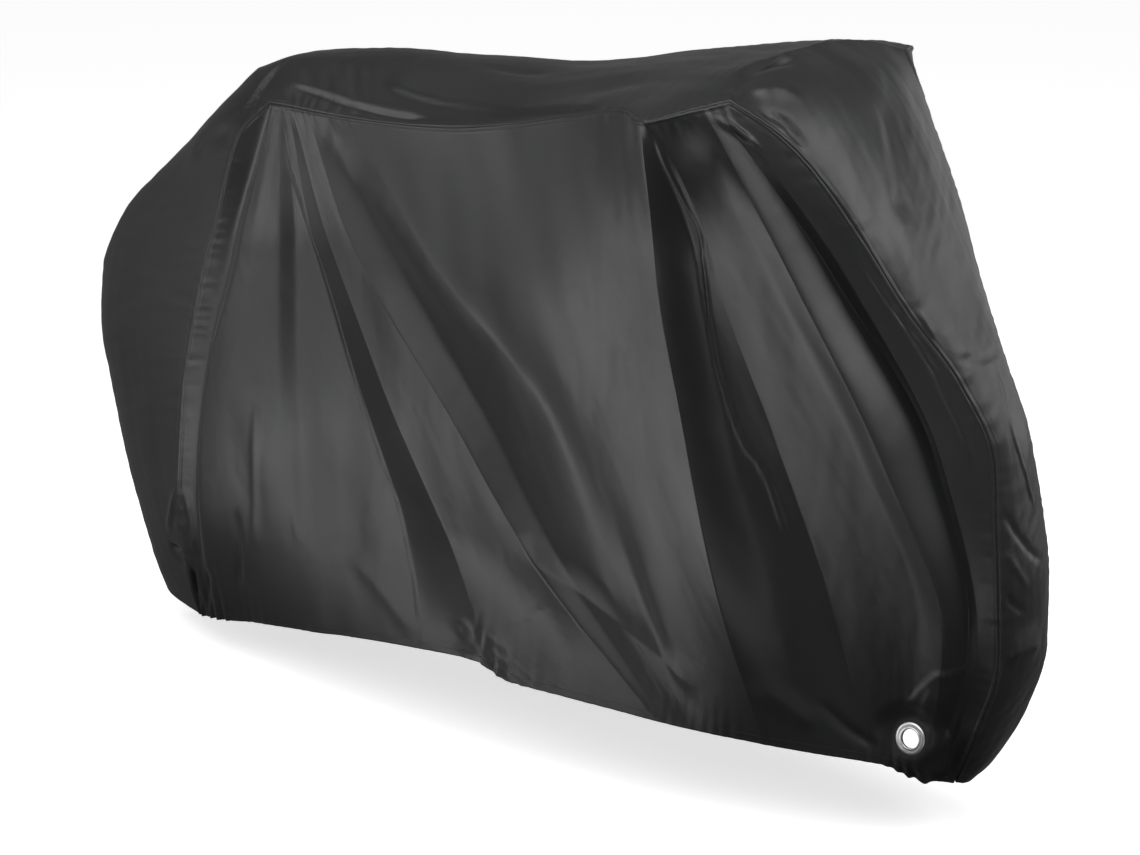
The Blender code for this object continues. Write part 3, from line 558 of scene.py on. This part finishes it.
normals = {name: gridNormals(grid) * outward[name] for name, grid in sheets.items()}
shareSeams(normals)
seamArc = [runLength(seamPath(sheets[name])[None], 1)[0] for name in ("near", "far")]
puckers = []
for number, arc in enumerate(seamArc):
    line = np.stack([arc, np.zeros_like(arc)], axis=-1)
    puckers.append(waves(line, 11 + number, *seamLook["puckerWaves"]))

hemLook = {
    "gather": 0.0004,
    "reach": 0.055,
    "fall": 1.2,  # how fast the gathers die out
    "waves": (10, 0.013, 0.034, 0, 6),
    "slant": 0.10,
    "places": [(-0.70, 0.06, 0.0050), (0.00, 0.07, 0.0040), (0.69, 0.05, 0.0030)],  # X, width and rise
}
# Waves are given by how many, the shortest and longest, and their heading and its spread in degrees.
panelWaves = {
    "broadRise": 0.0008,
    "broad": (12, 0.07, 0.20, 8, 14),
    "fineRise": 0.00012,
    "fine": (12, 0.018, 0.05, 10, 22),
}
stripWaves = {
    "broadRise": 0.0012,
    "broad": (12, 0.07, 0.20, 80, 20),
    "fineRise": 0.0004,
    "fine": (12, 0.02, 0.06, 70, 30),
}


def clothWaves(flat, seed, look):
    # the broad and the fine waves that a cloth has everywhere
    push = look["broadRise"] * waves(flat, seed, *look["broad"])
    push += look["fineRise"] * waves(flat, seed + 1, *look["fine"])
    return push


def hemRipple(grid, seed):
    # gathers that the elastic pulls into the hem, dying out upwards
    fromHem = runLength(grid[::-1], 0)[::-1]
    x = grid[..., 0]
    amount = np.full_like(x, hemLook["gather"])
    for centre, width, rise in hemLook["places"]:
        amount = amount + rise * np.exp(-((x - centre) / width) ** 2)
    line = np.stack([x, hemLook["slant"] * fromHem], axis=-1)
    ripple = waves(line, seed, *hemLook["waves"])
    return amount * ripple * np.exp(-(fromHem / hemLook["reach"]) ** hemLook["fall"])


def dressSide(name, grid, normal, creases, seed):
    distance, station, which = seamDistances(name, grid)
    push = clothWaves(grid[..., [0, 2]], seed, panelWaves) + hemRipple(grid, seed + 2)
    for crease in creases:
        push += creasePush(grid, normal, onGrid(grid, crease.path, [0, 2]), crease)
    push *= smoothStep(distance / seamLook["still"])
    return push + seamPush(distance, station, which, 1.0)


def seamPush(distance, station, which, bandShare):
    look = seamLook
    ripple = np.where(which == 0, puckers[0][station], puckers[1][station])
    push = look["pucker"] * ripple * np.exp(-(distance / look["puckerReach"]) ** 2)
    push -= look["groove"] * np.exp(-(distance / look["grooveWidth"]) ** 2)
    band = smoothStep(distance / look["bandStart"])
    band *= smoothStep((look["band"] + look["bandPast"] - distance) / look["bandEnd"])
    push += bandShare * look["bandRise"] * band
    push -= look["stitchDip"] * np.exp(-((distance - look["band"]) / look["dipWidth"]) ** 2)
    return push


pushes = {
    "near": dressSide("near", near, normals["near"], nearCreases, 21),
    "far": dressSide("far", far, normals["far"], farCreases, 41),
}
stripDistance = seamDistances("strip", strip)
arcAlong = seamArc[0][:, None] + 0 * strip[..., 0]
stripFlat = np.stack([arcAlong, strip[..., 1]], axis=-1)
stripPush = clothWaves(stripFlat, 61, stripWaves)
for crease in stripCreases:
    path = onGrid(strip, crease.path, [0, 1, 2])
    stripPush += creasePush(strip, normals["strip"], path, crease)
pushes["strip"] = stripPush * smoothStep(stripDistance[0] / seamLook["still"])
pushes["strip"] += seamPush(*stripDistance, seamLook["stripBand"])
for name, grid in sheets.items():
    sheets[name] = grid + normals[name] * pushes[name][..., None]
print("creases pressed")

nylon = {
    "colour": (0.0155, 0.0158, 0.0165),
    "wornColour": (0.030, 0.030, 0.032),
    "shading": 0.12,  # how far patches are darker and lighter
    "roughness": (0.35, 0.43),
    "roughnessSpan": (0.3, 0.7),
    "weave": 0.0007,
    "thread": {"Distortion": 0.6, "Detail": 1.0},
    "weaveBump": (0.25, 0.00012),  # strength and height
    "crumple": {"Scale": 26.0, "Detail": 5.0, "Roughness": 0.55},
    "crumpleBump": (0.35, 0.0016),
    "patches": {"Scale": 5.0, "Detail": 3.0},
    "coating": {"Sheen Weight": 0.10, "Sheen Roughness": 0.4, "Specular IOR Level": 0.5},
}
metal = {
    "plate": {"Base Color": (0.86, 0.86, 0.85, 1), "Metallic": 1.0},
    "roughness": (0.29, 0.46),
    "marks": {"Scale": 420.0, "Detail": 4.0},
    "markBump": (0.15, 0.0002),
}


def newMaterial(name):
    material = bpy.data.materials.new(name)
    material.use_nodes = True
    tree = material.node_tree
    return material, tree.nodes, tree.links, tree.nodes["Principled BSDF"]


def fill(node, values):
    for name, value in values.items():
        node.inputs[name].default_value = value


def noise(nodes, links, place, values):
    texture = nodes.new("ShaderNodeTexNoise")
    fill(texture, values)
    links.new(place, texture.inputs["Vector"])
    return texture


def roughen(nodes, links, shader, marks, limits, span):
    # roughness between two limits, led by a noise
    rough = nodes.new("ShaderNodeMapRange")
    fill(rough, {"From Min": span[0], "From Max": span[1], "To Min": limits[0], "To Max": limits[1]})
    links.new(marks.outputs["Fac"], rough.inputs["Value"])
    links.new(rough.outputs["Result"], shader.inputs["Roughness"])


def raised(nodes, links, height, strength, distance):
    bump = nodes.new("ShaderNodeBump")
    fill(bump, {"Strength": strength, "Distance": distance})
    links.new(height, bump.inputs["Height"])
    return bump


def product(nodes, links, first, second):
    times = nodes.new("ShaderNodeMath")
    times.operation = "MULTIPLY"
    links.new(first.outputs["Fac"], times.inputs[0])
    links.new(second.outputs["Fac"], times.inputs[1])
    return times.outputs["Value"]


# shade scales the whole colour: the strip's copy uses it for painted light and the corner's copy for painted
# shade; the thread is lighter at 1.7
def nylonMaterial(name, shade):
    material, nodes, links, shader = newMaterial(name)
    fill(shader, nylon["coating"])
    uvMap = nodes.new("ShaderNodeUVMap")
    uvMap.uv_map = "cloth"
    place = uvMap.outputs["UV"]
    threads = []
    for axis in ("X", "Y"):
        wave = nodes.new("ShaderNodeTexWave")
        wave.bands_direction = axis
        fill(wave, {"Scale": 0.314 / nylon["weave"], **nylon["thread"]})  # at 0.314 a wave is a metre long
        links.new(place, wave.inputs["Vector"])
        threads.append(wave)
    crumple = noise(nodes, links, place, nylon["crumple"])
    patches = noise(nodes, links, place, nylon["patches"])
    wear = nodes.new("ShaderNodeAttribute")
    wear.attribute_name = "wear"

    shades = nodes.new("ShaderNodeMixRGB")
    for socket, way in (("Color1", -1), ("Color2", 1)):
        depth = shade * (1 + way * nylon["shading"])
        fill(shades, {socket: (*[depth * c for c in nylon["colour"]], 1)})
    links.new(patches.outputs["Fac"], shades.inputs["Fac"])
    colour = nodes.new("ShaderNodeMixRGB")
    fill(colour, {"Color2": (*nylon["wornColour"], 1)})
    links.new(product(nodes, links, wear, crumple), colour.inputs["Fac"])
    links.new(shades.outputs["Color"], colour.inputs["Color1"])
    links.new(colour.outputs["Color"], shader.inputs["Base Color"])

    roughen(nodes, links, shader, patches, nylon["roughness"], nylon["roughnessSpan"])
    fine = raised(nodes, links, product(nodes, links, *threads), *nylon["weaveBump"])
    broad = raised(nodes, links, crumple.outputs["Fac"], *nylon["crumpleBump"])
    links.new(fine.outputs["Normal"], broad.inputs["Normal"])
    links.new(broad.outputs["Normal"], shader.inputs["Normal"])
    return material


def nickelMaterial():
    material, nodes, links, shader = newMaterial("nickel plate")
    fill(shader, metal["plate"])
    place = nodes.new("ShaderNodeTexCoord").outputs["Object"]
    marks = noise(nodes, links, place, metal["marks"])
    roughen(nodes, links, shader, marks, metal["roughness"], (0.0, 1.0))
    dents = raised(nodes, links, marks.outputs["Fac"], *metal["markBump"])
    links.new(dents.outputs["Normal"], shader.inputs["Normal"])
    return material


panelNylon = nylonMaterial("black nylon panel", 1.0)
# Painted light: the strip's copy of the same nylon is 6% lighter, standing in for the light that falls on the
# strip
litStripNylon = nylonMaterial("black nylon strip", 1.06)
# Painted shade: the corner's copy of the same nylon is 6% darker, standing in for shade on the low front
# corner
shadedCornerNylon = nylonMaterial("black nylon corner", 0.94)
nickel = nickelMaterial()

# A hem is turned under: each step goes down past the edge, inwards, and up again inside.
HemTurn = namedtuple("HemTurn", "down inward")
hemTurns = [
    HemTurn(0.0009, 0.0006),
    HemTurn(0.0012, 0.0018),
    HemTurn(0.0004, 0.0029),
    HemTurn(-0.006, 0.0032),
    HemTurn(-0.013, 0.0030),
]
hemRowLength = 0.003  # how far apart the turned-under rows lie on the flat cloth


def withHem(grid, normal, ends):
    # adds the turned-under rows beyond the last row, and beyond the first one where ends is 2
    for end in range(ends):
        edge, before, out = (grid[-1], grid[-3], normal[-1]) if end == 0 else (grid[0], grid[2], normal[0])
        down = unit(edge - before)
        rows = np.array([edge + down * turn.down - out * turn.inward for turn in hemTurns])
        grid = np.concatenate([grid, rows] if end == 0 else [rows[::-1], grid])
        normal = np.concatenate([normal, np.repeat(out[None], len(rows), axis=0)])
    return grid


def linked(name, data):
    thing = bpy.data.objects.new(name, data)
    bpy.context.scene.collection.objects.link(thing)
    return thing


def newPiece(name, points, faces, material, smooth=True):
    mesh = bpy.data.meshes.new(name)
    mesh.from_pydata((np.array(points) - saddlePlace).tolist(), [], faces)
    if smooth:
        mesh.shade_smooth()
    mesh.materials.append(material)
    piece = linked(name, mesh)
    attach(piece, "root")
    return piece


def clothPiece(name, grid, cells, sign, uv, wear, material):
    rows, columns = grid.shape[:2]
    normal = gridNormals(grid) * sign
    r, c = np.nonzero(cells)
    a = r * columns + c
    quads = np.stack([a, a + 1, a + 1 + columns, a + columns], axis=1)
    if sign < 0:
        quads = quads[:, ::-1]
    used, quads = np.unique(quads, return_inverse=True)
    quads = quads.reshape(-1, 4)
    piece = newPiece(name, grid.reshape(-1, 3)[used], quads.tolist(), material)
    mesh = piece.data
    layer = mesh.uv_layers.new(name="cloth")
    layer.data.foreach_set("uv", uv.reshape(-1, 2)[used][quads.ravel()].ravel().astype(np.float32))
    worn = mesh.attributes.new("wear", "FLOAT", "POINT")
    worn.data.foreach_set("value", wear.ravel()[used].astype(np.float32))
    mesh.normals_split_custom_set_from_vertices(normal.reshape(-1, 3)[used].tolist())
    print(name, len(quads) * 2, "triangles")
    return piece


wearLook = {
    "seam": (0.5, 0.004, 0.004),  # how much, how far from the seam, and its width
    "hem": (0.6, 0.006),
    "underHem": 0.4,
}


def wearOf(distance, fromHem):
    # wear beside the seams and along the hem
    amount, place, width = wearLook["seam"]
    hemAmount, hemWidth = wearLook["hem"]
    seam = amount * np.exp(-((distance - place) / width) ** 2)
    return seam + hemAmount * np.exp(-(fromHem / hemWidth) ** 2)


eyelet = {
    "x": 0.676,
    "height": 0.170,
    "tilt": math.radians(11.0),
    "outer": 0.0240,
    "hole": 0.0140,
    "barrel": 0.0165,
    "gap": 0.0003,
    "cloth": 0.0020,
    "flat": 0.027,  # the cloth is flat out to this radius, and on its own shape again at the next
    "blend": 0.060,
    "cut": 0.0008,  # how far the cloth ends past the barrel
    "sides": 96,
}


def eyeletPlace(grid, side):
    axis = np.array([0.0, side * math.cos(eyelet["tilt"]), math.sin(eyelet["tilt"])])
    flat = grid.reshape(-1, 3)
    away = np.hypot(flat[:, 0] - eyelet["x"], flat[:, 2] - eyelet["height"])
    out = flat[np.argsort(away)[:9], 1].mean()  # the mean of the nine nearest points
    return np.array([eyelet["x"], out, eyelet["height"]]), axis


def pressFlat(grid, centre, axis):
    away = grid - centre
    high = away @ axis
    radius = np.linalg.norm(away - high[..., None] * axis, axis=-1)
    share = 1 - smoothStep((radius - eyelet["flat"]) / (eyelet["blend"] - eyelet["flat"]))
    return grid - axis * (high * share)[..., None], radius


def eyeletRing(name, centre, axis):
    over, under = eyelet["gap"], -eyelet["cloth"] - eyelet["gap"]
    hole, outer, barrel, sides = eyelet["hole"], eyelet["outer"], eyelet["barrel"], eyelet["sides"]
    bend = [(math.cos(a), math.sin(a)) for a in np.linspace(math.pi, 0.35, 8)]
    profile = [(hole + 0.0012 * (1 + c), over + 0.0006 + 0.0011 * s) for c, s in bend]
    profile += [
        (hole + 0.0055, over + 0.0021), (outer - 0.0030, over + 0.0018), (outer - 0.0012, over + 0.0013),
        (outer - 0.0003, over + 0.0006), (outer, over), (barrel, over), (barrel, under), (outer, under),
        (outer, under - 0.0007), (hole + 0.001, under - 0.0012), (hole, under - 0.0005),
    ]
    first = np.array([1.0, 0.0, 0.0])
    second = np.cross(axis, first)
    vertices, faces = [], []
    for step in range(sides):
        angle = 2 * math.pi * step / sides
        way = first * math.cos(angle) + second * math.sin(angle)
        vertices += [centre + way * r + axis * h for r, h in profile]
    count = len(profile)
    for step in range(sides):
        for place in range(count):
            here, there, following = step * count, (step + 1) % sides * count, (place + 1) % count
            faces.append((here + place, here + following, there + following, there + place))
    piece = newPiece(name, vertices, faces, nickel)
    piece.data.flip_normals()
    return piece


stitch = {
    "pitch": 0.0038,
    "length": 0.0028,
    "width": 0.0006,
    "height": 0.0004,
    "step": 5,  # columns or rows between a seam and its stitches
    "hemStep": 6,
}
threadNylon = nylonMaterial("black thread", 1.7)


def valuesAt(at, keys, values):
    return np.stack([np.interp(at, keys, values[:, axis]) for axis in range(3)], axis=1)


def stitchRow(line, normal):
    # one row of small raised stitches along a line on the cloth
    keys = np.concatenate([[0.0], np.cumsum(np.linalg.norm(np.diff(line, axis=0), axis=1))])
    pitch = stitch["pitch"]
    at = np.arange(pitch, keys[-1] - pitch, pitch)
    middle = valuesAt(at, keys, line)
    out = unit(valuesAt(at, keys, normal))
    way = unit(valuesAt(at + pitch / 2, keys, line) - middle)
    side = np.cross(out, way)
    half = way * stitch["length"] / 2
    wide, up = side * stitch["width"] / 2, out * stitch["height"]
    ring = []
    for end in (middle - half, middle + half):
        ring += [end - wide, end + (up * 0.7 - wide * 0.5), end + (up * 0.7 + wide * 0.5), end + wide]
    ring += [middle + up * 1.4 - wide * 0.5, middle + up * 1.4 + wide * 0.5]
    vertices = np.stack(ring, axis=1).reshape(-1, 3)
    # two sides, a raised middle, two ends and the underside
    pattern = [
        (0, 4, 5, 8, 1), (1, 8, 9, 2), (8, 5, 6, 9), (2, 9, 6, 7, 3),
        (0, 1, 2, 3), (7, 6, 5, 4), (3, 7, 4, 0),
    ]
    faces = []
    for number in range(len(at)):
        faces += [tuple(len(ring) * number + point for point in face) for face in pattern]
    return vertices, faces


def stitchPiece(name, rows):
    vertices, faces = [], []
    for line, normal in rows:
        points, corners = stitchRow(line, normal)
        faces += [tuple(corner + len(vertices) for corner in face) for face in corners]
        vertices += points.tolist()
    newPiece(name, vertices, faces, threadNylon, smooth=False)
    print(name, len(faces), "faces")


def seamRow(grid):
    # the line beside a panel's three seams
    step = stitch["step"]
    return np.concatenate([grid[-2:step:-1, step], grid[step, step:-step - 1], grid[step:-1, -step - 1]])


for side, name in ((-1, "near"), (1, "far")):
    grid = sheets[name]
    centre, axis = eyeletPlace(grid, side)
    grid, radius = pressFlat(grid, centre, axis)
    normal = gridNormals(grid) * outward[name]
    distance = seamDistances(name, grid)[0]
    fromHem = runLength(grid[::-1], 0)[::-1]
    rows, columns = grid.shape[:2]
    whole = withHem(grid, normal, 1)
    extra = len(whole) - rows
    keysAcross = runLength(grid, 1)[rows // 2]
    down = np.concatenate([drop * panelDrop, panelDrop + hemRowLength * np.arange(1, extra + 1)])
    uv = np.stack(np.meshgrid(keysAcross, down), axis=-1)
    wear = np.concatenate([wearOf(distance, fromHem), np.full((extra, columns), wearLook["underHem"])])
    cornerRow = int(np.searchsorted(drop, cornerCut["drop"]))
    frontRow = int(np.searchsorted(drop, cornerCut["frontDrop"]))
    cornerColumn = int(np.argmax(grid[frontRow, :, 0] > cornerCut["frontX"]))
    panelCells = np.ones((rows - 1 + extra, columns - 1), bool)
    panelCells[cornerRow:, cornerColumn:] = False
    cornerCells = ~panelCells
    holed = radius < eyelet["barrel"] + eyelet["cut"]
    blocked = holed[:-1, :-1] | holed[1:, :-1] | holed[:-1, 1:] | holed[1:, 1:]
    cornerCells[:rows - 1] &= ~blocked
    panel = clothPiece(name + "_panel_cloth", whole, panelCells, outward[name], uv, wear, panelNylon)
    # the lock corner takes the darker copy with painted shade
    lockCorner = clothPiece(name + "_corner_cloth", whole, cornerCells, outward[name], uv, wear, shadedCornerNylon)
    ring = eyeletRing(name + "_eyelet_ring", centre, axis)
    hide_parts(name + "_side_panel")
    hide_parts(name + "_lock_corner")
    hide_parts(name + "_eyelet")
    hemRow = -stitch["hemStep"]
    hemLine, hemNormal = grid[hemRow, 3:-3], normal[hemRow, 3:-3]
    stitchPiece(name + "_panel_stitches", [(seamRow(grid), seamRow(normal)), (hemLine, hemNormal)])
    sheets[name] = grid

grid = sheets["strip"]
normal = gridNormals(grid) * outward["strip"]
rows, columns = grid.shape[:2]
whole = withHem(grid, normal, 2)
extra = (len(whole) - rows) // 2
fromSeam = seamDistances("strip", grid)[0]
fromHem = runLength(grid, 0)
fromHem = np.minimum(fromHem, fromHem[-1:] - fromHem)
underHem = np.full((extra, columns), wearLook["underHem"])
wear = np.concatenate([underHem, wearOf(fromSeam, fromHem), underHem])
beyond = hemRowLength * np.arange(1, extra + 1)
down = np.concatenate([-beyond[::-1], seamArc[0], seamArc[0][-1] + beyond])
uv = np.stack(np.meshgrid(across * stripHalf, down), axis=-1)
firstFront = len(grid) - len(near)
split = firstFront + int(np.argmax(grid[firstFront:, 0, 2] < crossSeamHeight)) + extra
topCells = np.zeros((len(whole) - 1, columns - 1), bool)
topCells[:split] = True
# both strip pieces take the lighter copy with painted light
top = clothPiece("top_strip_cloth", whole, topCells, -1, uv, wear, litStripNylon)
front = clothPiece("front_strip_cloth", whole, ~topCells, -1, uv, wear, litStripNylon)
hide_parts("top_and_rear_strip")
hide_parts("front_strip")

columnsSewn = (stitch["step"], -stitch["step"] - 1)
stitchPiece("strip_stitches", [(grid[2:-2, column], normal[2:-2, column]) for column in columnsSewn])

print("cloth made")

# Floor, backdrop, light and camera.
stageLook = {
    "reach": 16.0,
    "floorColour": 0.85,
    "floorGlow": 0.66,
    "backdrop": 1.0,
    "air": 0.055,
    "lampAim": (0.2, 0.0, 0.6),
    "lampDistance": 3.4,
    "boardHeight": 0.03,
    "overhead": 0.9,
    "overheadSpread": 70,
    "overheadTilt": (12, -8),
}


def stageMaterial(name, colour, glow):
    material, *_, shader = newMaterial(name)
    fill(shader, {"Base Color": (colour, colour, colour, 1), "Roughness": 0.9, "Specular IOR Level": 0.1})
    fill(shader, {"Emission Color": (1, 1, 1, 1), "Emission Strength": glow})
    return material


middleOfFloor = (0.42, 0, -saddlePlace[2])
bpy.ops.mesh.primitive_circle_add(
    vertices=96, radius=stageLook["reach"], fill_type="NGON", location=middleOfFloor)
floor = bpy.context.object
floor.name = "studio_floor"
floor.data.materials.append(stageMaterial("pale floor", stageLook["floorColour"], stageLook["floorGlow"]))
bpy.ops.mesh.primitive_uv_sphere_add(
    segments=64, ring_count=32, radius=stageLook["reach"], location=middleOfFloor)
dome = bpy.context.object
dome.name = "studio_backdrop"
dome.data.materials.append(stageMaterial("white backdrop", 0.0, stageLook["backdrop"]))
for ray in ("diffuse", "glossy", "transmission", "volume_scatter", "shadow"):
    setattr(dome, "visible_" + ray, False)
for ray in ("diffuse", "glossy"):
    setattr(floor, "visible_" + ray, False)

world = bpy.data.worlds.new("studio air")
bpy.context.scene.world = world
world.use_nodes = True
fill(world.node_tree.nodes["Background"], {"Color": (1, 1, 1, 1), "Strength": stageLook["air"]})


def wayOut(azimuth, elevation):
    # a direction from the cover: azimuth from its near side towards the front, and elevation, in degrees
    around, up = math.radians(azimuth), math.radians(elevation)
    return Vector((math.sin(around) * math.cos(up), -math.cos(around) * math.cos(up), math.sin(up)))


def standing(name, data, aim, way, distance):
    # an object that stands a distance out from a point over the ground and looks back at it
    holder = linked(name, data)
    holder.location = Vector(aim) - Vector(saddlePlace) + way * distance
    holder.rotation_euler = (-way).to_track_quat("-Z", "Y").to_euler()
    return holder


Lamp = namedtuple("Lamp", "name azimuth elevation size power")
lamps = [
    Lamp("left window", -57, 8, 1.3, 18.5),
    Lamp("front window", -30, 38, 1.6, 12),
    Lamp("front skylight", 15, 36, 1.6, 16),
    Lamp("side skylight", 58, 42, 1.5, 12),
    Lamp("right skylight", 105, 32, 1.6, 34),
    Lamp("back window", 172, 8, 1.6, 6),
    Lamp("rear window", 138, 8, 1.6, 18),
    Lamp("ceiling", 0, 68, 1.6, 20),
    Lamp("right ceiling", 90, 68, 1.6, 26),
]
for lamp in lamps:
    light = bpy.data.lights.new(lamp.name, "AREA")
    light.size, light.energy = lamp.size, lamp.power
    way = wayOut(lamp.azimuth, lamp.elevation)
    standing(lamp.name, light, stageLook["lampAim"], way, stageLook["lampDistance"])

# Boards on the floor throw light up under the folds. The camera doesn't see them.
Board = namedtuple("Board", "name x y length width power")
boards = [
    Board("left board", -1.60, -1.45, 1.1, 1.1, 8),
    Board("near board", -0.45, -0.85, 1.3, 0.6, 8),
    Board("front board", 1.60, -1.20, 0.9, 0.9, 7),
]
for board in boards:
    light = bpy.data.lights.new(board.name, "AREA")
    light.shape = "RECTANGLE"
    light.size, light.size_y, light.energy = board.length, board.width, board.power
    holder = linked(board.name, light)
    holder.location = Vector((board.x, board.y, stageLook["boardHeight"])) - Vector(saddlePlace)
    holder.rotation_euler = (math.pi, 0, 0)
    holder.visible_camera = False

sun = bpy.data.lights.new("overhead", "SUN")
sun.energy = stageLook["overhead"]
sun.angle = math.radians(stageLook["overheadSpread"])
tiltX, tiltY = stageLook["overheadTilt"]
linked("overhead", sun).rotation_euler = (math.radians(tiltX), math.radians(tiltY), 0)

shot = {"azimuth": 36.0, "elevation": 17.0, "distance": 4.9, "aim": (0.0, 0.0, 0.49), "lens": 99.95}
camera = bpy.data.cameras.new("camera")
camera.lens = shot["lens"]
camera.sensor_width = 36.0
way = wayOut(shot["azimuth"], shot["elevation"])
bpy.context.scene.camera = standing("camera", camera, shot["aim"], way, shot["distance"])
bpy.context.scene.view_settings.view_transform = "Standard"

print("ready")
